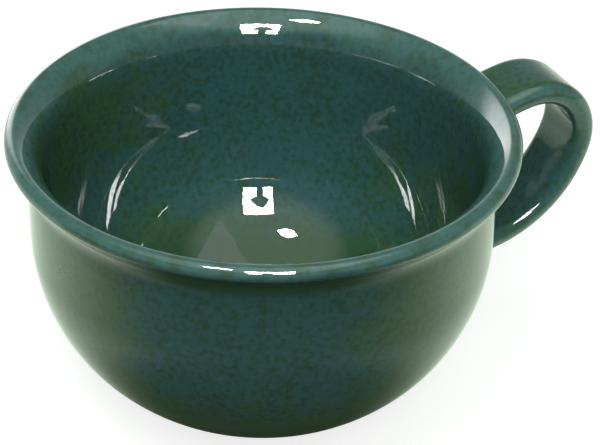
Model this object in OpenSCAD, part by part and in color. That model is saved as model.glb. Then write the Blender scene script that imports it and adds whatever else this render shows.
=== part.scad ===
// A wide glazed stoneware coffee cup: a round bowl with a flared lip and a low foot ring, a strap handle
// stuck to the wall with slip at both ends, and a coat of glaze over everything but the foot.
// The cup stands on z = 0 with its axis on Z, and the handle points along +X. Millimetres.

/* [Bowl] */
// Diameter over the flared lip, glaze included
rim_d = 114; // [110:0.5:124]
// Height from the table to the top of the lip
cup_h = 69.3; // [64:0.1:82]
// How far the lip stands out past the straight neck, all round
lip_flare = 4.3; // [2:0.1:7]
// Radius of the round belly, seen from the side
belly_r = 45; // [42:0.5:49]
// Thickness of the finished wall at the neck and at the lip
wall_t = 3.8; // [3:0.1:4.6]
// Radius of the hollow curve under the lip
lip_curve_r = 9; // [6:0.5:13]
// Lean of the inside of the wall, which grows thicker from the lip down, as on a thrown bowl
wall_lean = 3; // [0:0.5:5]
// Thickness of the base above the recess in the foot
base_t = 5.2; // [4:0.1:7]

/* [Foot] */
// Outside diameter of the foot ring
foot_d = 47; // [42:0.5:56]
// Width of the foot ring
foot_w = 4.5; // [3:0.1:7]
// Height at which the belly meets the foot ring
foot_h = 1.6; // [1:0.1:3]
// Depth of the recess inside the foot ring
recess_h = 1.8; // [1:0.1:2.5]
// Bevel on both edges of the foot ring
foot_bevel = 0.6; // [0.2:0.1:1.2]

/* [Handle] */
// Width of the finished strap
strap_w = 17; // [12:0.5:22]
// Thickness of the finished strap, whose edges are fully round
strap_t = 5.5; // [4.5:0.1:7]
// Depth below the top of the lip at which the middle of the strap leaves the wall
joint_drop = 8.3; // [7:0.1:13]
// Height between the places where the middle of the strap leaves and meets the wall
joint_gap = 34.5; // [30:0.5:39]
// Angle at which the strap rises from the upper joint
upper_lead = 29; // [20:1:36]
// Angle at which the strap rises into the lower joint
lower_lead = 5; // [0:1:12]
// Radius of the long curve above the finger hole
upper_curve_r = 40; // [32:1:52]
// Radius of the tight bend at the top outer corner
knuckle_r = 13.5; // [10:0.5:17]
// Radius of the long curve below the finger hole
lower_curve_r = 29.2; // [26:0.2:34]
// How far the strap spreads on each side where it is pressed to the wall
spread_w = 1.2; // [0:0.1:2]
// Length over which it spreads
spread_l = 9; // [4:0.5:14]

/* [Coats] */
// Thickness of the glaze
glaze_t = 0.4; // [0.3:0.05:0.6]
// Thickness of the slip under each end of the strap
slip_t = 0.3; // [0.2:0.05:0.5]
// Height of the edge of the glaze above the table
glaze_edge_z = 3.2; // [3:0.1:6]

/* [Hidden] */
$fn = 96;

rim_r = rim_d / 2;
neck_r = rim_r - lip_flare;
foot_r = foot_d / 2;

// Belly: one round arc that ends upright at the neck and runs down to the foot ring
belly_c = neck_r - belly_r;
belly_z = foot_h + sqrt(belly_r * belly_r - pow(foot_r - belly_c, 2));

// Lip: the wall bends outward at full thickness round lip_c and ends in a round bead at bead_c
bead_r = wall_t / 2;
bead_c = [rim_r - bead_r, cup_h - bead_r];
lip_run = neck_r + lip_curve_r - bead_c[0];
lip_rise = sqrt(pow(lip_curve_r + bead_r, 2) - lip_run * lip_run);
lip_c = [neck_r + lip_curve_r, bead_c[1] - lip_rise];
lip_end = atan2(lip_rise, -lip_run);

// Hollow of the bowl: a side that leans in from the lip's curve, and an arc from its foot to the flat base, which
// reaches a hair past the side, so that the two cross and don't just touch
floor_z = recess_h + base_t;
hollow_r = belly_z - floor_z;
past_side = 0.02;
side_rise = lip_c[1] - belly_z + hollow_r * sin(wall_lean);
hollow_c = neck_r - wall_t - side_rise * tan(wall_lean) - hollow_r * cos(wall_lean) + past_side;

// Strap: two long curves and a tight bend between them, each touching the next
upper_joint_z = cup_h - joint_drop;
lower_joint_z = upper_joint_z - joint_gap;
upper_joint = [neck_r, upper_joint_z];
lower_joint = [belly_c + sqrt(belly_r * belly_r - pow(lower_joint_z - belly_z, 2)), lower_joint_z];
upper_start = 90 + upper_lead;
lower_end = -90 - lower_lead;
upper_c = upper_joint - upper_curve_r * heading(upper_start);
lower_c = lower_joint - lower_curve_r * heading(lower_end);
knuckle_c = meet(upper_c, upper_curve_r - knuckle_r, lower_c, lower_curve_r - knuckle_r);
upper_end = bearing(knuckle_c - upper_c);
lower_start = bearing(knuckle_c - lower_c);

// Lengths of the three curves along the middle of the strap
upper_l = upper_curve_r * radians(upper_start - upper_end);
knuckle_l = knuckle_r * radians(upper_end - lower_start);
lower_l = lower_curve_r * radians(lower_start - lower_end);
strap_l = upper_l + knuckle_l + lower_l;

// The strap's ends run this far into the wall before they are cut to its curve
root_l = wall_t;
// The gap cut in the glaze for the strap stops this deep in the wall
gap_depth = wall_t / 3;
// Places along the strap, from inside the wall to inside the wall, at which its section is drawn
upper_steps = 6;
knuckle_steps = 20;
lower_steps = 18;
stations = [
    -root_l,
    each [for (i = [0 : upper_steps - 1]) upper_l * i / upper_steps],
    each [for (i = [0 : knuckle_steps - 1]) upper_l + knuckle_l * i / knuckle_steps],
    each [for (i = [0 : lower_steps]) upper_l + knuckle_l + lower_l * i / lower_steps],
    strap_l + root_l
];
last_station = len(stations) - 1;
// Stations at each end that the joint with the wall can reach
end_stations = 5;
// Steps round each of the strap's two round edges
edge_steps = 10;
ring_size = 2 * (edge_steps + 1);

function heading(a) = [cos(a), sin(a)];
function bearing(v) = atan2(v[1], v[0]);
function radians(a) = a * PI / 180;
function degrees(a) = a * 180 / PI;

// The outer one of the two points at distance ra from a and rb from b
function meet(a, ra, b, rb) =
    let (
        span = norm(b - a),
        along = (span * span + ra * ra - rb * rb) / (2 * span),
        off = sqrt(ra * ra - along * along),
        u = (b - a) / span
    )
    a + along * u + off * [u[1], -u[0]];

// Section of the bent lip, set in by s from its finished surface
module lip_section(s) {
    reach = 2 * (lip_curve_r + wall_t);
    intersection() {
        translate(lip_c) difference() {
            circle(lip_curve_r + wall_t - s);
            circle(lip_curve_r + s);
        }
        polygon([
            lip_c,
            lip_c + reach * heading(180),
            lip_c + reach * heading((180 + lip_end) / 2),
            lip_c + reach * heading(lip_end)
        ]);
    }
    translate(bead_c) circle(bead_r - s);
}

// Outline of the belly without its hollow, set in by s
module belly_outline(s) {
    intersection() {
        translate([belly_c, belly_z]) circle(belly_r - s);
        translate([0, recess_h]) square([neck_r, belly_z - recess_h]);
    }
}

// Outline of the hollow, set in by s
module hollow_outline(s) {
    inner_r = neck_r - wall_t + s;
    side_foot = [inner_r - side_rise * tan(wall_lean), lip_c[1] - side_rise];
    translate([0, floor_z - s]) square([hollow_c, hollow_r + s]);
    translate([hollow_c, belly_z]) circle(hollow_r + s);
    polygon([[0, belly_z], [hollow_c, side_foot[1]], side_foot, [inner_r, lip_c[1]], [inner_r, cup_h], [0, cup_h]]);
}

// Section of the bowl from base to lip, without the foot ring, set in by s from its finished surface
module bowl_section(s) {
    difference() {
        union() {
            belly_outline(s);
            translate([0, belly_z]) square([neck_r - s, lip_c[1] - belly_z]);
        }
        hollow_outline(s);
    }
    lip_section(s);
}

module foot_section() {
    inner_r = foot_r - foot_w;
    polygon([
        [inner_r + foot_bevel, 0],
        [foot_r - foot_bevel, 0],
        [foot_r, foot_bevel],
        [foot_r, floor_z / 2],
        [inner_r, floor_z / 2],
        [inner_r, foot_bevel]
    ]);
}

// Everything inside the bowl's outer surface, set in by s: what the strap's ends are cut with
module filled_bowl(s) {
    rotate_extrude() {
        belly_outline(s);
        translate([0, belly_z]) square([neck_r - s, lip_c[1] - belly_z]);
        translate([0, lip_c[1]]) square([neck_r - wall_t / 2, lip_rise]);
        lip_section(s);
    }
}

// Direction across the strap, away from the finger hole, at the distance d along its middle
function strap_facing(d) =
    d < 0 ? upper_start
    : d < upper_l ? upper_start - degrees(d / upper_curve_r)
    : d < upper_l + knuckle_l ? upper_end - degrees((d - upper_l) / knuckle_r)
    : d < strap_l ? lower_start - degrees((d - upper_l - knuckle_l) / lower_curve_r)
    : lower_end;

// Place of the strap's middle, as [x, z], at the distance d along it
function strap_place(d) =
    let (out = heading(strap_facing(d)), ahead = [out[1], -out[0]])
    d < 0 ? upper_joint + d * ahead
    : d < upper_l ? upper_c + upper_curve_r * out
    : d < upper_l + knuckle_l ? knuckle_c + knuckle_r * out
    : d < strap_l ? lower_c + lower_curve_r * out
    : lower_joint + (d - strap_l) * ahead;

// How much the strap has spread on each side at the distance d along it, where it meets the wall
function spread(d) =
    let (from_joint = max(0, min(d, strap_l - d)), left = max(0, 1 - from_joint / spread_l))
    spread_w * left * left;

// Section of the strap as [thickness, width] points, set in by s and spread by g on each side
function strap_section(s, g) =
    let (edge_r = strap_t / 2 - s + g, half_flat = (strap_w - strap_t) / 2)
    [
        for (side = [1, -1], i = [0 : edge_steps])
            let (a = 180 * i / edge_steps)
            [side * edge_r * cos(a), side * (half_flat + edge_r * sin(a))]
    ];

// The section stood up at the distance d along the strap
function strap_ring(d, s) =
    let (middle = strap_place(d), out = heading(strap_facing(d)))
    [
        for (p = strap_section(s, spread(d)))
            [middle[0] + p[0] * out[0], p[1], middle[1] + p[0] * out[1]]
    ];

// Triangles between ring number i and the next, for rings that start at the point number base
function band(base, i) = [
    for (j = [0 : ring_size - 1])
        let (
            k = (j + 1) % ring_size,
            near = base + i * ring_size,
            far = near + ring_size
        )
        each [[near + j, far + k, far + j], [near + j, near + k, far + k]]
];

function flipped(faces) = [for (f = faces) [for (i = [len(f) - 1 : -1 : 0]) f[i]]];

// The strap between two stations, set in by s
module strap(s, first, last) {
    rings = last - first;
    points = [for (i = [first : last]) each strap_ring(stations[i], s)];
    sides = [for (i = [0 : rings - 1]) each band(0, i)];
    start_cap = [for (j = [ring_size - 1 : -1 : 0]) j];
    end_cap = [for (j = [0 : ring_size - 1]) rings * ring_size + j];
    polyhedron(points, concat(sides, [start_cap, end_cap]));
}

// The coat round the whole strap: its outer and inner surface and a ring at each end
module strap_coat() {
    count = (last_station + 1) * ring_size;
    points = [for (s = [0, glaze_t], d = stations) each strap_ring(d, s)];
    outside = [for (i = [0 : last_station - 1]) each band(0, i)];
    inside = flipped([for (i = [0 : last_station - 1]) each band(count, i)]);
    ends = [
        for (j = [0 : ring_size - 1])
            let (k = (j + 1) % ring_size, last = last_station * ring_size)
            each [
                [k, j, count + j], [k, count + j, count + k],
                [last + j, last + k, count + last + k], [last + j, count + last + k, count + last + j]
            ]
    ];
    polyhedron(points, concat(outside, inside, ends));
}

module upper_strap_end() {
    strap(glaze_t, 0, end_stations);
}

module lower_strap_end() {
    strap(glaze_t, last_station - end_stations, last_station);
}

// Slip between the clay wall and the end of the clay strap given to it
module slip_joint() {
    intersection() {
        children();
        difference() {
            filled_bowl(glaze_t - slip_t);
            filled_bowl(glaze_t);
        }
    }
}

module body() {
    color("tan")
        rotate_extrude() {
            bowl_section(glaze_t);
            foot_section();
        }
}

module handle() {
    color("tan")
        difference() {
            strap(glaze_t, 0, last_station);
            filled_bowl(glaze_t - slip_t);
        }
}

module upper_slip_joint() {
    color("peru") slip_joint() upper_strap_end();
}

module lower_slip_joint() {
    color("peru") slip_joint() lower_strap_end();
}

module body_glaze() {
    color("darkslategray")
        difference() {
            rotate_extrude()
                intersection() {
                    difference() {
                        bowl_section(0);
                        bowl_section(glaze_t);
                    }
                    translate([0, glaze_edge_z]) square([rim_r, cup_h]);
                }
            difference() {
                union() {
                    upper_strap_end();
                    lower_strap_end();
                }
                filled_bowl(gap_depth);
            }
        }
}

module handle_glaze() {
    color("darkslategray")
        difference() {
            strap_coat();
            filled_bowl(0);
        }
}

body();
handle();
upper_slip_joint();
lower_slip_joint();
body_glaze();
handle_glaze();
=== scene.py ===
"""Looks of a wide glazed stoneware coffee cup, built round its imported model.

The glaze on the bowl and on the strap handle is modelled smooth, with the strap's glaze run into the wall at
both ends. The bare clay of the foot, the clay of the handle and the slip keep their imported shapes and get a
fired clay finish. All lengths are in metres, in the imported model's own frame: the cup stands on z = 0 and its
handle is on +X.
"""
import math

import bmesh
import bpy
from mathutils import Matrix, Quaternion, Vector, noise


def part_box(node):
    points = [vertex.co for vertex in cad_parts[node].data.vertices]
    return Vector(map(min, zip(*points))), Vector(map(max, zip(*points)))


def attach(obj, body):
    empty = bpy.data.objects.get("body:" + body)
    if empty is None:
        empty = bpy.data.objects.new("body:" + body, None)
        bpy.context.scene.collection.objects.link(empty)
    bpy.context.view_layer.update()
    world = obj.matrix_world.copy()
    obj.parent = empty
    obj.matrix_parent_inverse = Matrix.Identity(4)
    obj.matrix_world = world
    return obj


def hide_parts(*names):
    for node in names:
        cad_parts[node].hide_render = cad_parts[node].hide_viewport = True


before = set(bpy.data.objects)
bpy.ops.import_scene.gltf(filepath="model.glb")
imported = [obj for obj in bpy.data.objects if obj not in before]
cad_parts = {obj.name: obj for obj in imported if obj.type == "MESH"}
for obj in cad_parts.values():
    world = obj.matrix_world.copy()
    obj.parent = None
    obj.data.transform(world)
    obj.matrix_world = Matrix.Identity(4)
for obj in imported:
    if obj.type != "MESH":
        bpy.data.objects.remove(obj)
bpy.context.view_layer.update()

MM = 0.001

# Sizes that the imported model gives
glaze_low, glaze_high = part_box("body_glaze")
RIM_R = glaze_high.y
CUP_H = glaze_high.z
GLAZE_EDGE_Z = glaze_low.z

# Bowl, finished surfaces
LIP_FLARE = 4.3 * MM
LIP_CURVE_R = 9.0 * MM
WALL_T = 3.8 * MM
WALL_LEAN = math.radians(3.0)
BELLY_R = 45.0 * MM
FLOOR_Z = 7.0 * MM
FOOT_R = 23.5 * MM
FOOT_H = 1.6 * MM
GLAZE_T = 0.4 * MM

NECK_R = RIM_R - LIP_FLARE
BELLY_C = NECK_R - BELLY_R
BELLY_Z = FOOT_H + math.sqrt(BELLY_R**2 - (FOOT_R - BELLY_C) ** 2)
BEAD_R = WALL_T / 2
BEAD_C = (RIM_R - BEAD_R, CUP_H - BEAD_R)
LIP_RUN = NECK_R + LIP_CURVE_R - BEAD_C[0]
LIP_RISE = math.sqrt((LIP_CURVE_R + BEAD_R) ** 2 - LIP_RUN**2)
LIP_C = (NECK_R + LIP_CURVE_R, BEAD_C[1] - LIP_RISE)
LIP_END = math.degrees(math.atan2(LIP_RISE, -LIP_RUN))
HOLLOW_R = BELLY_Z - FLOOR_Z
SIDE_RISE = LIP_C[1] - BELLY_Z + HOLLOW_R * math.sin(WALL_LEAN)
HOLLOW_C = NECK_R - WALL_T - SIDE_RISE * math.tan(WALL_LEAN) - HOLLOW_R * math.cos(WALL_LEAN)

# Strap handle, finished surfaces
STRAP_W = 17.0 * MM
STRAP_T = 5.5 * MM
JOINT_DROP = 8.3 * MM
JOINT_GAP = 34.5 * MM
UPPER_LEAD = 29.0
LOWER_LEAD = 5.0
UPPER_CURVE_R = 40.0 * MM
KNUCKLE_R = 13.5 * MM
LOWER_CURVE_R = 29.2 * MM
SPREAD_W = 1.2 * MM
SPREAD_L = 9.0 * MM
# Radius of the glaze that has run into the corner between strap and wall
RUN_R = 1.8 * MM
# How deep the edge of the strap's glaze sits in the glaze of the wall
SINK = 0.2 * MM

# The photograph's view: where the camera stands round the cup, and how it is turned from the aim point
VIEW_AZIMUTH = -113.9
VIEW_ELEVATION = 34.03
VIEW_DISTANCE = 390.71 * MM
AIM_Z = 41.2 * MM
VIEW_YAW = -1.25
VIEW_PITCH = 0.17
VIEW_ROLL = -1.08
SENSOR_W = 36.0
FOCAL_PIXELS = 1700.0
PHOTO_W = 600.0


def smooth(value, low, high):
    """0 at low and 1 at high, eased between them."""
    share = min(1.0, max(0.0, (value - low) / (high - low)))
    return share * share * (3 - 2 * share)


def polar(degrees):
    return Vector((math.cos(math.radians(degrees)), math.sin(math.radians(degrees))))


# Directions: toward the camera, to the right of its picture, and up
VIEW_FRONT = polar(VIEW_AZIMUTH).to_3d()
VIEW_SIDE = polar(VIEW_AZIMUTH + 90).to_3d()
UP = Vector((0, 0, 1))


# Bowl
def arc(centre, radius, start, end, steps):
    """Points on a round arc from one angle to another, in degrees."""
    turns = [start + (end - start) * i / steps for i in range(steps + 1)]
    return [Vector(centre) + radius * polar(turn) for turn in turns]


def straight(start, end, steps):
    return [Vector(start).lerp(Vector(end), i / steps) for i in range(steps + 1)]


def joined(*runs):
    """One line of points from several that meet end to end."""
    line = list(runs[0])
    for run in runs[1:]:
        line.extend(run[1:])
    return line


def bowl_line(inset):
    """Section of the surface from the edge of the glaze over the lip to the axis, set in from the finish."""
    edge = math.degrees(math.asin((GLAZE_EDGE_Z - BELLY_Z) / (BELLY_R - inset)))
    neck_out = NECK_R - inset
    lip_inside = arc(LIP_C, LIP_CURVE_R + WALL_T - inset, LIP_END, 180, 20)
    hollow = arc((HOLLOW_C, BELLY_Z), HOLLOW_R + inset, -math.degrees(WALL_LEAN), -90, 64)
    floor = FLOOR_Z - inset
    return joined(
        arc((BELLY_C, BELLY_Z), BELLY_R - inset, edge, 0, 56),
        straight((neck_out, BELLY_Z), (neck_out, LIP_C[1]), 12),
        arc(LIP_C, LIP_CURVE_R + inset, 180, LIP_END, 16),
        arc(BEAD_C, BEAD_R - inset, LIP_END - 180, LIP_END, 24),
        lip_inside,
        straight(lip_inside[-1], hollow[0], 16),
        hollow,
        straight((HOLLOW_C, floor), (0, floor), 10),
    )


def revolved(section, segments):
    """Vertices and faces of a closed section turned round the axis, with one point where it meets it."""
    vertices = []
    rings = []
    for point in section:
        turns = segments if point.x > 1e-7 else 1
        rings.append(range(len(vertices), len(vertices) + turns))
        for i in range(turns):
            across = polar(360 * i / segments) * point.x
            vertices.append((across.x, across.y, point.y))
    faces = []
    for near, far in zip(rings, rings[1:] + rings[:1]):
        for i in range(segments):
            corners = []
            for ring, turn in ((near, i), (near, i + 1), (far, i + 1), (far, i)):
                corner = ring[turn % len(ring)]
                if corner not in corners:
                    corners.append(corner)
            if len(corners) > 2:
                faces.append(corners)
    return vertices, faces


def wall_gap(r, z):
    """Distance of a point from the bowl's outer surface, below 0 in the wall."""
    if z < BELLY_Z:
        return math.hypot(r - BELLY_C, z - BELLY_Z) - BELLY_R
    if z < LIP_C[1]:
        return r - NECK_R
    bead_gap = math.hypot(r - BEAD_C[0], z - BEAD_C[1]) - BEAD_R
    turn = math.degrees(math.atan2(z - LIP_C[1], r - LIP_C[0]))
    if turn < LIP_END:
        return bead_gap
    return min(bead_gap, LIP_CURVE_R - math.hypot(r - LIP_C[0], z - LIP_C[1]))


# Strap
def meeting(a, from_a, b, from_b):
    """The outer one of the two points at a given distance from a and from b."""
    span = (b - a).length
    along = (span**2 + from_a**2 - from_b**2) / (2 * span)
    off = math.sqrt(from_a**2 - along**2)
    line = (b - a) / span
    return a + along * line + off * Vector((line.y, -line.x))


def bearing(v):
    return math.degrees(math.atan2(v.y, v.x))


UPPER_JOINT = Vector((NECK_R, CUP_H - JOINT_DROP))
LOWER_Z = UPPER_JOINT.y - JOINT_GAP
LOWER_JOINT = Vector((BELLY_C + math.sqrt(BELLY_R**2 - (LOWER_Z - BELLY_Z) ** 2), LOWER_Z))
UPPER_START = 90 + UPPER_LEAD
LOWER_END = -90 - LOWER_LEAD
UPPER_C = UPPER_JOINT - UPPER_CURVE_R * polar(UPPER_START)
LOWER_C = LOWER_JOINT - LOWER_CURVE_R * polar(LOWER_END)
KNUCKLE_C = meeting(UPPER_C, UPPER_CURVE_R - KNUCKLE_R, LOWER_C, LOWER_CURVE_R - KNUCKLE_R)
UPPER_END = bearing(KNUCKLE_C - UPPER_C)
LOWER_START = bearing(KNUCKLE_C - LOWER_C)
UPPER_L = UPPER_CURVE_R * math.radians(UPPER_START - UPPER_END)
KNUCKLE_L = KNUCKLE_R * math.radians(UPPER_END - LOWER_START)
LOWER_L = LOWER_CURVE_R * math.radians(LOWER_START - LOWER_END)
STRAP_L = UPPER_L + KNUCKLE_L + LOWER_L


def strap_frame(d):
    """Middle of the strap and the direction away from the finger hole, as (x, z), at distance d along it."""
    if d < 0:
        out = polar(UPPER_START)
        return UPPER_JOINT + d * Vector((out.y, -out.x)), out
    if d < UPPER_L:
        out = polar(UPPER_START - math.degrees(d / UPPER_CURVE_R))
        return UPPER_C + UPPER_CURVE_R * out, out
    if d < UPPER_L + KNUCKLE_L:
        out = polar(UPPER_END - math.degrees((d - UPPER_L) / KNUCKLE_R))
        return KNUCKLE_C + KNUCKLE_R * out, out
    if d < STRAP_L:
        out = polar(LOWER_START - math.degrees((d - UPPER_L - KNUCKLE_L) / LOWER_CURVE_R))
        return LOWER_C + LOWER_CURVE_R * out, out
    out = polar(LOWER_END)
    return LOWER_JOINT + (d - STRAP_L) * Vector((out.y, -out.x)), out


def strap_spread(d):
    from_joint = max(0.0, min(d, STRAP_L - d))
    return SPREAD_W * max(0.0, 1 - from_joint / SPREAD_L) ** 2


def section_places(edge_steps, flat_steps):
    """Places round the strap's section: how far across its flat part, and which way it faces there."""
    half_flat = (STRAP_W - STRAP_T) / 2
    places = []
    for side in (1, -1):
        start = 0 if side > 0 else 180
        places += [(side * half_flat, start + 180 * i / edge_steps) for i in range(edge_steps)]
        places += [(side * half_flat * (1 - 2 * i / flat_steps), start + 180) for i in range(flat_steps)]
    return places


def strap_point(d, place, inset):
    """A point on the strap's surface and the direction that it faces."""
    across, facing = place
    middle, out = strap_frame(d)
    turned = polar(facing)
    edge_r = STRAP_T / 2 - inset + strap_spread(d)
    rise = edge_r * turned.x
    normal = Vector((out.x * turned.x, turned.y, out.y * turned.x))
    return Vector((middle.x + rise * out.x, across + edge_r * turned.y, middle.y + rise * out.y)), normal


def gap_at(point):
    return wall_gap(math.hypot(point.x, point.y), point.z)


def wall_normal(point):
    h = 0.01 * MM
    steps = (Vector((h, 0, 0)), Vector((0, h, 0)), Vector((0, 0, h)))
    return Vector([gap_at(point + s) - gap_at(point - s) for s in steps]).normalized()


def leaves_wall(place, inset, inside, outside):
    """Distance along the strap at which a line of its surface comes out of the wall."""
    for _ in range(40):
        middle = (inside + outside) / 2
        if gap_at(strap_point(middle, place, inset)[0]) < 0:
            inside = middle
        else:
            outside = middle
    return outside


def strap_line(place, inset, run, steps):
    """Points along one line of the strap's surface from wall to wall, and the gap to the wall at each."""
    reach = 15 * MM
    start = leaves_wall(place, inset, -WALL_T, reach)
    end = leaves_wall(place, inset, STRAP_L + WALL_T, STRAP_L - reach)
    line = []
    for i in range(steps + 1):
        d = start + (end - start) * (0.5 - 0.5 * math.cos(math.pi * i / steps))
        point, normal = strap_point(d, place, inset)
        gap = max(0.0, gap_at(point))
        if gap < run:
            wall = wall_normal(point)
            sideways = (normal - normal.dot(wall) * wall).normalized()
            point = point + sideways * (run - math.sqrt(run**2 - (run - gap) ** 2))
        line.append((point, gap))
    sunk = [point - SINK * wall_normal(point) for point in (line[0][0], line[-1][0])]
    return [(sunk[0], 0.0)] + line + [(sunk[1], 0.0)]


def new_object(name, data):
    made = bpy.data.objects.new(name, data)
    bpy.context.scene.collection.objects.link(made)
    return made


def new_piece(name, vertices, faces):
    """A smooth mesh object with outward faces."""
    mesh = bpy.data.meshes.new(name)
    mesh.from_pydata([tuple(v) for v in vertices], [], faces)
    whole = bmesh.new()
    whole.from_mesh(mesh)
    bmesh.ops.recalc_face_normals(whole, faces=whole.faces)
    whole.to_mesh(mesh)
    whole.free()
    mesh.shade_smooth()
    return new_object(name, mesh)


# Fields of the glaze: where it is thin, with painted sheen on the strap's edges; where it is pooled, with
# painted shade under the lip; where it is blue; and where its gloss is softer
FIELDS = ("thin_and_sheen", "pooled_and_shade", "blue", "soft")
# How far the lip's thin glaze reaches down
THIN_REACH_IN = 6.5 * MM
THIN_REACH_OUT = 3.4 * MM


def set_fields(piece, rows):
    """Stores the fields on a piece, given as one row of values for each vertex."""
    for name, values in zip(FIELDS, zip(*rows)):
        layer = piece.data.attributes.new(name, "FLOAT", "POINT")
        layer.data.foreach_set("value", list(values))


def patches(point, size):
    """Slow, cloudy variation from 0 to 1."""
    return 0.5 + 0.5 * noise.noise(Vector(point) / size)


def band(value, low, low_full, high_full, high):
    """1 between the two middle values, eased to 0 at the outer ones."""
    return smooth(value, low, low_full) * smooth(value, high, high_full)


def along_view(point, direction):
    """How far a point lies from the cup's axis in a level direction."""
    return point[0] * direction.x + point[1] * direction.y


def body_thin(point, inside):
    """Thin on the lip, with a ragged lower edge that reaches further down inside."""
    reach = THIN_REACH_IN if inside else THIN_REACH_OUT
    ragged = (patches(point, 9 * MM) - 0.5) * 3 * MM
    return smooth(CUP_H - point[2] + ragged, reach, 0.3 * reach)


def body_pooled_and_shade(z, inside):
    """Pooled in the bottom of the bowl, and outside pooled glaze with painted shade in the curve under the lip.
    """
    if inside:
        return 0.9 * smooth(z, 24 * MM, 12 * MM)
    # Painted shade in the curve under the lip, partly pooled glaze
    return band(CUP_H - z, 3 * MM, 5.5 * MM, 6 * MM, 11 * MM)


def body_blue(point, inside):
    """Blue in the middle of the photograph's view, and greener to its sides and low down."""
    z = point[2]
    aside = along_view(point, VIEW_SIDE)
    if inside:
        greenness = 0.6 if aside > 0 else 0.85
        middle = 14 * MM
        low = smooth(z, 28 * MM, 11 * MM)
    else:
        greenness = 1.5 - 0.9 * smooth(-along_view(point, VIEW_FRONT), 0, 40 * MM)
        middle = 8 * MM
        low = smooth(z, 38 * MM, 14 * MM)
    green = greenness * smooth(abs(aside), middle, middle + 34 * MM) + 1.1 * low
    cloud = 1.1 * (patches(point, 22 * MM) - 0.5)
    return min(1.0, max(-0.3, 1.05 - green + cloud))


def body_soft(point, inside):
    """Softer on bands of the inside wall, where lamps mirrored twice would show more than in the photo."""
    if not inside:
        return 0.0
    z = point[2]
    aside = along_view(point, VIEW_SIDE)
    # The upper wall, and further down at the tops of the two long streaks
    beside = band(abs(aside), 21 * MM, 24 * MM, 37 * MM, 40 * MM)
    upper = band(z, (36 - 3.5 * beside) * MM, (41 - 4 * beside) * MM, 56 * MM, 59 * MM)
    # An arc low on the right, where the lip is mirrored
    arc_z = 26 * MM - 7 * MM * ((aside - 12 * MM) / (17.5 * MM)) ** 2
    lower = smooth(abs(z - arc_z), 3 * MM, 1.5 * MM)
    right = band(aside, 8 * MM, 12 * MM, 31 * MM, 33 * MM)
    return max(upper, right * lower)


def body_fields(point):
    inside = wall_gap(math.hypot(point[0], point[1]), point[2]) < -BEAD_R
    return (
        body_thin(point, inside),
        body_pooled_and_shade(point[2], inside),
        body_blue(point, inside),
        body_soft(point, inside),
    )


def strap_fields(point, gap, facing):
    """Thin on the outer face and the edges, with painted sheen on the rounded edges and the upper ridge, pooled
    at the wall, and bluer and softer in the finger hole.
    """
    turned = polar(facing)
    outward = smooth(turned.x, 0.0, 0.5)
    roundness = abs(turned.y) + 0.3 * (patches(point, 8 * MM) - 0.5)
    # Painted sheen: a pale line along the strap's upper rounded edge, partly thin glaze
    ridge_sheen = smooth(roundness, 0.3, 0.7) * outward
    thin_and_sheen = 0.3 * outward + 0.4 * smooth(roundness, 0.3, 0.9) + 0.3 * ridge_sheen
    pooled_and_shade = 0.8 * smooth(gap, 2.5 * MM, 0)
    hole_side = smooth(-turned.x, -0.3, 0.8)
    blue = 0.15 + 0.6 * hole_side + patches(point, 15 * MM) - 0.5
    soft = 0.8 * hole_side * smooth(point.z, 51 * MM, 43 * MM)
    return thin_and_sheen, pooled_and_shade, min(1.0, max(0.0, blue)), soft


# Pieces of glaze
def make_body_glaze():
    outer = bowl_line(0)
    inner = bowl_line(GLAZE_T)
    roll_c = (outer[0] + inner[0]) / 2
    roll = arc(roll_c, GLAZE_T / 2, bearing(inner[0] - roll_c), bearing(outer[0] - roll_c), 6)
    section = joined(outer, [outer[-1]] + inner[::-1])
    section += roll[1:-1]
    vertices, faces = revolved(section, 288)
    piece = new_piece("body_glaze_coat", vertices, faces)
    set_fields(piece, [body_fields(point) for point in vertices])
    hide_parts("body_glaze")
    return piece


def make_handle_glaze():
    steps = 170
    places = section_places(18, 10)
    vertices = []
    fields = []
    for inset, run in ((0, RUN_R), (GLAZE_T, 0)):
        for place in places:
            for point, gap in strap_line(place, inset, run, steps):
                vertices.append(point)
                fields.append(strap_fields(point, gap, place[1]))

    rows = steps + 3
    columns = len(places)

    def at(layer, column, row):
        return (layer * columns + column % columns) * rows + row

    faces = []
    for column in range(columns):
        for layer in (0, 1):
            for row in range(rows - 1):
                faces.append([at(layer, column, row), at(layer, column + 1, row),
                              at(layer, column + 1, row + 1), at(layer, column, row + 1)])
        for row in (0, rows - 1):
            faces.append([at(0, column, row), at(0, column + 1, row),
                          at(1, column + 1, row), at(1, column, row)])
    piece = new_piece("handle_glaze_coat", vertices, faces)
    set_fields(piece, fields)
    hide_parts("handle_glaze")
    return piece


# Materials
def node(tree, kind, inputs=None, **settings):
    """Adds a node, with its inputs set to values or linked from other nodes' outputs."""
    made = tree.nodes.new(kind)
    for key, value in settings.items():
        setattr(made, key, value)
    for key, value in (inputs or {}).items():
        if isinstance(value, bpy.types.NodeSocket):
            tree.links.new(value, made.inputs[key])
        else:
            made.inputs[key].default_value = value
    return made


def noise_at(tree, place, size, detail=2.0, roughness=0.5):
    """Noise from 0 to 1 whose spots are about size across."""
    made = node(tree, "ShaderNodeTexNoise", {"Vector": place, "Scale": 1 / size, "Detail": detail,
                                             "Roughness": roughness})
    return made.outputs["Fac"]


def mask(tree, value, low, high, most=1.0):
    """0 where the value is at low and most where it is at high, eased between them."""
    spans = {"Value": value, "From Min": low, "From Max": high, "To Max": most}
    made = node(tree, "ShaderNodeMapRange", spans, interpolation_type="SMOOTHSTEP")
    return made.outputs["Result"]


def math_of(tree, operation, a, b):
    return node(tree, "ShaderNodeMath", {0: a, 1: b}, operation=operation).outputs[0]


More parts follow.
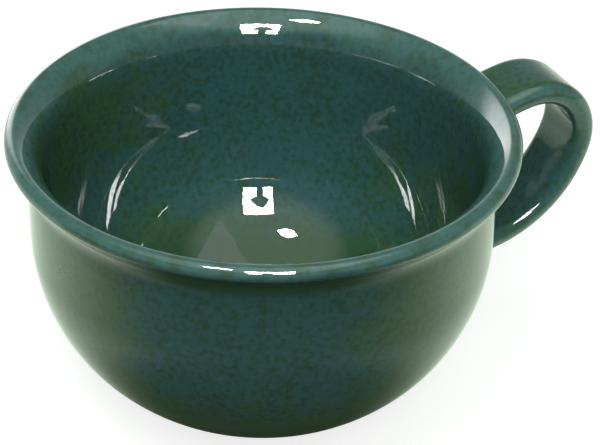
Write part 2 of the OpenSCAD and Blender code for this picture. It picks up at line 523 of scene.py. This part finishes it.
def dot(tree, a, b):
    return node(tree, "ShaderNodeVectorMath", {0: a, 1: b}, operation="DOT_PRODUCT").outputs["Value"]


def mixed(tree, share, a, b):
    """Colour a turning into colour b."""
    made = node(tree, "ShaderNodeMix", {"Factor": share, 6: a, 7: b}, data_type="RGBA")
    return made.outputs[2]


def attribute(tree, name):
    return node(tree, "ShaderNodeAttribute", attribute_name=name).outputs["Fac"]


def new_material(name):
    """A material with its node tree, its shader and a place on the piece."""
    material = bpy.data.materials.new(name)
    material.use_nodes = True
    tree = material.node_tree
    shader = next(n for n in tree.nodes if n.type == "BSDF_PRINCIPLED")
    place = node(tree, "ShaderNodeTexCoord").outputs["Object"]
    return material, tree, shader, place


GLAZE_BLUE = (0.034, 0.098, 0.099, 1)
GLAZE_LIGHT_BLUE = (0.042, 0.108, 0.136, 1)
GLAZE_GREEN = (0.042, 0.103, 0.046, 1)
GLAZE_SPECK = (0.028, 0.057, 0.024, 1)
# Dark green of pooled glaze, also painted as shade under the lip
GLAZE_POOLED_AND_SHADE = (0.020, 0.062, 0.030, 1)
# Pale colours of thin glaze, also painted as sheen on the strap's edges
GLAZE_THIN_AND_SHEEN = (0.070, 0.165, 0.155, 1)
GLAZE_OLIVE_THIN_AND_SHEEN = (0.060, 0.123, 0.092, 1)
CLAY_PALE = (0.55, 0.45, 0.33, 1)
CLAY_DARK = (0.42, 0.32, 0.22, 1)
CLAY_IRON = (0.12, 0.07, 0.04, 1)
SLIP_PALE = (0.50, 0.38, 0.27, 1)
SLIP_DARK = (0.40, 0.29, 0.20, 1)
SLIP_IRON = (0.14, 0.08, 0.05, 1)


def glaze_material():
    material, tree, shader, place = new_material("mottled_blue_green_glaze")
    cloud = noise_at(tree, place, 5 * MM, 3.0)
    fine = noise_at(tree, place, 1.4 * MM, 2.5, 0.55)
    blue = math_of(tree, "ADD", attribute(tree, "blue"), mask(tree, cloud, 0.3, 0.7, 0.4))
    blueness = mask(tree, blue, 0.25, 1.0)
    ground = mixed(tree, blueness, GLAZE_GREEN, GLAZE_BLUE)
    streaks = mask(tree, noise_at(tree, place, 2.2 * MM, 3.0), 0.5, 0.75, 0.7)
    ground = mixed(tree, math_of(tree, "MULTIPLY", streaks, blueness), ground, GLAZE_LIGHT_BLUE)
    crowded = noise_at(tree, place, 11 * MM, 2.0)
    spots = math_of(tree, "ADD", fine, math_of(tree, "MULTIPLY", crowded, 0.3))
    specks = mask(tree, spots, 0.57, 0.86, 0.65)
    colour = mixed(tree, specks, ground, GLAZE_SPECK)
    # Pooled glaze, and painted shade under the lip
    colour = mixed(tree, attribute(tree, "pooled_and_shade"), colour, GLAZE_POOLED_AND_SHADE)
    olive = mask(tree, noise_at(tree, place, 4 * MM, 3.0), 0.45, 0.7)
    broken = mixed(tree, olive, GLAZE_THIN_AND_SHEEN, GLAZE_OLIVE_THIN_AND_SHEEN)
    # Thin glaze on the lip, and painted sheen on the strap's edges
    thin_and_sheen = math_of(tree, "MULTIPLY", attribute(tree, "thin_and_sheen"), mask(tree, fine, 1.1, 0.4))
    colour = mixed(tree, thin_and_sheen, colour, broken)
    tree.links.new(colour, shader.inputs["Base Color"])
    tree.links.new(mask(tree, specks, 0.0, 1.0, 0.04), shader.inputs["Roughness"])
    shader.inputs["IOR"].default_value = 1.5
    tree.links.new(mask(tree, attribute(tree, "soft"), 1.15, 0.0, 0.5), shader.inputs["Specular IOR Level"])
    waves = node(tree, "ShaderNodeBump", {"Height": noise_at(tree, place, 8 * MM, 1.0), "Strength": 1.0,
                                          "Distance": 0.03 * MM})
    skin = node(tree, "ShaderNodeBump", {"Height": fine, "Strength": 1.0, "Distance": 0.003 * MM,
                                         "Normal": waves.outputs["Normal"]})
    tree.links.new(skin.outputs["Normal"], shader.inputs["Normal"])
    return material


def clay_material(name, pale, dark, iron):
    material, tree, shader, place = new_material(name)
    cloud = noise_at(tree, place, 6 * MM, 4.0, 0.6)
    grain = noise_at(tree, place, 0.5 * MM, 3.0, 0.65)
    colour = mixed(tree, mask(tree, cloud, 0.3, 0.7), pale, dark)
    specks = mask(tree, noise_at(tree, place, 0.9 * MM, 1.0), 0.66, 0.72, 0.8)
    colour = mixed(tree, specks, colour, iron)
    tree.links.new(colour, shader.inputs["Base Color"])
    tree.links.new(mask(tree, grain, 0.2, 0.8, 0.9), shader.inputs["Roughness"])
    bump = node(tree, "ShaderNodeBump", {"Height": grain, "Strength": 0.8, "Distance": 0.06 * MM})
    tree.links.new(bump.outputs["Normal"], shader.inputs["Normal"])
    return material


def bare_material(name):
    """A material whose nodes are still to be made."""
    material = bpy.data.materials.new(name)
    material.use_nodes = True
    material.node_tree.nodes.clear()
    return material, material.node_tree


def dress(piece, material):
    piece.data.materials.clear()
    piece.data.materials.append(material)


# Studio
def toward(azimuth, elevation):
    """Direction at an angle round the cup from +X and above the table, in degrees."""
    flat = polar(azimuth) * math.cos(math.radians(elevation))
    return Vector((flat.x, flat.y, math.sin(math.radians(elevation))))


AIM = Vector((0, 0, AIM_Z))


def make_camera():
    data = bpy.data.cameras.new("camera")
    data.sensor_width = SENSOR_W
    data.lens = FOCAL_PIXELS * SENSOR_W / PHOTO_W
    data.clip_start = 10 * MM
    camera = new_object("camera", data)
    back = toward(VIEW_AZIMUTH, VIEW_ELEVATION)
    camera.location = AIM + back * VIEW_DISTANCE
    camera.rotation_mode = "QUATERNION"
    camera.rotation_quaternion = (
        (-back).to_track_quat("-Z", "Y")
        @ Quaternion((0, 1, 0), math.radians(VIEW_YAW))
        @ Quaternion((1, 0, 0), math.radians(VIEW_PITCH))
        @ Quaternion((0, 0, -1), math.radians(VIEW_ROLL))
    )
    bpy.context.scene.camera = camera


def face_cup(thing, azimuth, elevation, distance):
    """Stands a lamp or a card round the cup, turned to it."""
    back = toward(azimuth, elevation)
    thing.location = AIM + back * distance
    thing.rotation_mode = "QUATERNION"
    thing.rotation_quaternion = (-back).to_track_quat("-Z", "Y")


def make_softbox(name, place, size, brightness):
    """A soft lamp of a given brightness as the cup sees it. The glaze mirrors its card instead."""
    width, height = size
    data = bpy.data.lights.new(name, "AREA")
    data.shape = "RECTANGLE"
    data.size = width
    data.size_y = height
    data.energy = brightness * 4 * width * height
    light = new_object(name, data)
    face_cup(light, *place)
    light.visible_camera = False
    light.visible_glossy = False


def make_card(name, place, size, outline, brightness, soft=False):
    """A bright card that only the glaze mirrors, with its outline in shares of its width and height.

    A soft card fades from its middle to its edge, and the room shows through it.
    """
    width, height = size
    mesh = bpy.data.meshes.new(name)
    mesh.from_pydata([(x * width, y * height, 0) for x, y in outline], [], [range(len(outline))])
    card = new_object(name, mesh)
    face_cup(card, *place)
    material, tree = bare_material(name)
    glow = node(tree, "ShaderNodeEmission", {"Strength": brightness})
    surface = glow.outputs[0]
    if soft:
        spot = node(tree, "ShaderNodeTexCoord").outputs["Object"]
        shares = (2 / width, 2 / height, 0)
        spread = node(tree, "ShaderNodeVectorMath", {0: spot, 1: shares}, operation="MULTIPLY").outputs[0]
        away = node(tree, "ShaderNodeVectorMath", {0: spread}, operation="LENGTH").outputs["Value"]
        tree.links.new(mask(tree, away, 1.0, 0.3, brightness), glow.inputs["Strength"])
        clear = node(tree, "ShaderNodeBsdfTransparent")
        surface = node(tree, "ShaderNodeAddShader", {0: surface, 1: clear.outputs[0]}).outputs[0]
    node(tree, "ShaderNodeOutputMaterial", {"Surface": surface})
    material.cycles.emission_sampling = "NONE"
    mesh.materials.append(material)
    card.visible_camera = False
    card.visible_diffuse = False
    card.visible_shadow = False


# Floor and room: how far the floor reaches, and their colours and brightness
FLOOR_REACH = 4.0
FLOOR_PALE = (0.82, 0.92, 0.79, 1)
# Painted shadow: the floor's colour under and before the cup, in mirrored and bounced light
FLOOR_PAINTED_SHADOW = (0.10, 0.13, 0.09, 1)
FLOOR_SEEN = (0.4, 0.4, 0.4, 1)
FLOOR_GLOW = 0.76
# Painted glow of the floor behind and beside the cup, in mirrored and bounced light
MIRRORED_PAINTED_GLOW = 0.55
WALL_TINT = (0.80, 0.88, 0.86, 1)
CEILING_TINT = (0.80, 0.88, 0.76, 1)
CEILING_LIGHT = 1.7
WALL_DIM = 0.15
WALL_LOW = 0.45


def make_floor():
    """White with the cup's shadow to the camera. In the glaze and in bounced light, pale with a painted glow
    behind the cup, and a painted shadow under and before it.
    """
    side = FLOOR_REACH
    mesh = bpy.data.meshes.new("floor")
    corners = [(-side, -side, 0), (side, -side, 0), (side, side, 0), (-side, side, 0)]
    mesh.from_pydata(corners, [], [(0, 1, 2, 3)])
    floor = new_object("floor", mesh)
    material, tree = bare_material("pale_floor")
    place = node(tree, "ShaderNodeTexCoord").outputs["Object"]
    # Painted shadow on the floor ahead of the cup and round a spot under its belly, for all but camera rays
    shadow_ahead = mask(tree, dot(tree, place, VIEW_FRONT), -10 * MM, 120 * MM)
    from_belly = node(tree, "ShaderNodeVectorMath", {0: place, 1: VIEW_FRONT * 65 * MM}, operation="DISTANCE")
    shadow_below = mask(tree, from_belly.outputs["Value"], 95 * MM, 35 * MM)
    painted_shadow = math_of(tree, "MAXIMUM", shadow_ahead, shadow_below)
    paper = node(tree, "ShaderNodeBsdfDiffuse", {"Color": mixed(tree, painted_shadow, FLOOR_PALE, FLOOR_PAINTED_SHADOW)})
    # Painted glow on the rest of the floor, for all but camera rays
    painted_glow = mask(tree, painted_shadow, 1, 0, MIRRORED_PAINTED_GLOW)
    painted_glow_shader = node(tree, "ShaderNodeEmission", {"Color": FLOOR_PALE, "Strength": painted_glow})
    mirrored = node(tree, "ShaderNodeAddShader", {0: paper.outputs[0], 1: painted_glow_shader.outputs[0]})
    seen = node(tree, "ShaderNodeBsdfDiffuse", {"Color": FLOOR_SEEN})
    glow = node(tree, "ShaderNodeEmission", {"Strength": FLOOR_GLOW})
    white = node(tree, "ShaderNodeAddShader", {0: seen.outputs[0], 1: glow.outputs[0]})
    camera_ray = node(tree, "ShaderNodeLightPath").outputs["Is Camera Ray"]
    both = node(tree, "ShaderNodeMixShader", {0: camera_ray, 1: mirrored.outputs[0], 2: white.outputs[0]})
    node(tree, "ShaderNodeOutputMaterial", {"Surface": both.outputs[0]})
    mesh.materials.append(material)


def make_world():
    """White where the camera sees it, and else a room with a ceiling.

    The room's walls are pale behind the cup, and dim ahead of it and to its right.
    """
    world = bpy.data.worlds.new("studio")
    world.use_nodes = True
    bpy.context.scene.world = world
    tree = world.node_tree
    tree.nodes.clear()
    direction = node(tree, "ShaderNodeTexCoord").outputs["Generated"]
    height = dot(tree, direction, UP)
    behind = mask(tree, dot(tree, direction, VIEW_FRONT), -0.3, -0.7)
    right = mask(tree, dot(tree, direction, VIEW_SIDE), 0.05, 0.45, 0.35)
    wall_height = math_of(tree, "ADD", height, right)
    low = mask(tree, height, 0.45, 0.15, WALL_LOW - WALL_DIM)
    pale = math_of(tree, "MULTIPLY", behind, mask(tree, wall_height, 0.7, 0.15))
    walls = math_of(tree, "MAXIMUM", low, pale)
    overhead = dot(tree, direction, UP + 0.3 * VIEW_FRONT - 0.04 * VIEW_SIDE)
    share = mask(tree, overhead, 0.74, 0.95)
    ceiling = math_of(tree, "MULTIPLY", share, CEILING_LIGHT)
    room = math_of(tree, "MAXIMUM", math_of(tree, "ADD", walls, WALL_DIM), ceiling)
    camera_ray = node(tree, "ShaderNodeLightPath").outputs["Is Camera Ray"]
    strength = node(tree, "ShaderNodeMix", {"Factor": camera_ray, "A": room, "B": 1.0})
    tint = mixed(tree, camera_ray, mixed(tree, share, WALL_TINT, CEILING_TINT), (1, 1, 1, 1))
    light = node(tree, "ShaderNodeBackground", {"Color": tint, "Strength": strength.outputs[0]})
    node(tree, "ShaderNodeOutputWorld", {"Surface": light.outputs[0]})


# Outlines of the cards, in shares of their width and height
SQUARE = [(-0.5, -0.5), (0.5, -0.5), (0.5, 0.5), (-0.5, 0.5)]
# A window with the photographer in front of it
WINDOW = [(-0.5, -0.5), (-0.19, -0.5), (-0.19, -0.18), (-0.42, -0.06), (-0.17, 0.29), (0.05, 0.2),
          (0.3, -0.04), (0.05, -0.18), (0.05, -0.5), (0.5, -0.5), (0.5, 0.5), (-0.5, 0.5)]
GABLE = [(-0.4, -0.48), (1.0, 0.65), (1.0, 1.6), (0.2, 1.6), (-0.2, 0.45)]
LOZENGE = [(-0.5, 0), (-0.15, -0.45), (0.15, -0.45), (0.5, 0), (0.15, 0.45), (-0.15, 0.45)]

# Where lamps and cards stand, as azimuth, elevation and distance, with their width and height
WINDOW_PLACE = (VIEW_AZIMUTH + 3.8, 41, 1.2)
WINDOW_SIZE = (0.34, 0.44)
LAMP_PLACE = (VIEW_AZIMUTH - 28, 63.5, 1.2)
LAMP_SIZE = (0.22, 0.14)
SKYLIGHT_PLACE = (VIEW_AZIMUTH + 51, 59.5, 1.0)
SKYLIGHT_SIZE = (0.4, 0.32)
BACK_PLACE = (VIEW_AZIMUTH - 152, 14, 0.5)
BACK_SIZE = (0.4, 0.56)


def make_lights():
    make_softbox("window", WINDOW_PLACE, WINDOW_SIZE, 7.4)
    make_card("window_card", WINDOW_PLACE, WINDOW_SIZE, WINDOW, 240)
    make_softbox("lamp", LAMP_PLACE, LAMP_SIZE, 13)
    make_card("lamp_card", LAMP_PLACE, LAMP_SIZE, LOZENGE, 400)
    make_card("skylight_card", SKYLIGHT_PLACE, SKYLIGHT_SIZE, GABLE, 2.1)
    make_card("back_card", BACK_PLACE, BACK_SIZE, SQUARE, 4.0, soft=True)


def main():
    glaze = glaze_material()
    stoneware = clay_material("bare_stoneware", CLAY_PALE, CLAY_DARK, CLAY_IRON)
    slip = clay_material("fired_slip", SLIP_PALE, SLIP_DARK, SLIP_IRON)
    for piece in (make_body_glaze(), make_handle_glaze()):
        dress(piece, glaze)
        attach(piece, "root")
    for name in ("body", "handle"):
        dress(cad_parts[name], stoneware)
    for name in ("upper_slip_joint", "lower_slip_joint"):
        dress(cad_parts[name], slip)

    make_camera()
    make_floor()
    make_world()
    make_lights()
    bpy.context.scene.view_settings.view_transform = "Standard"


main()
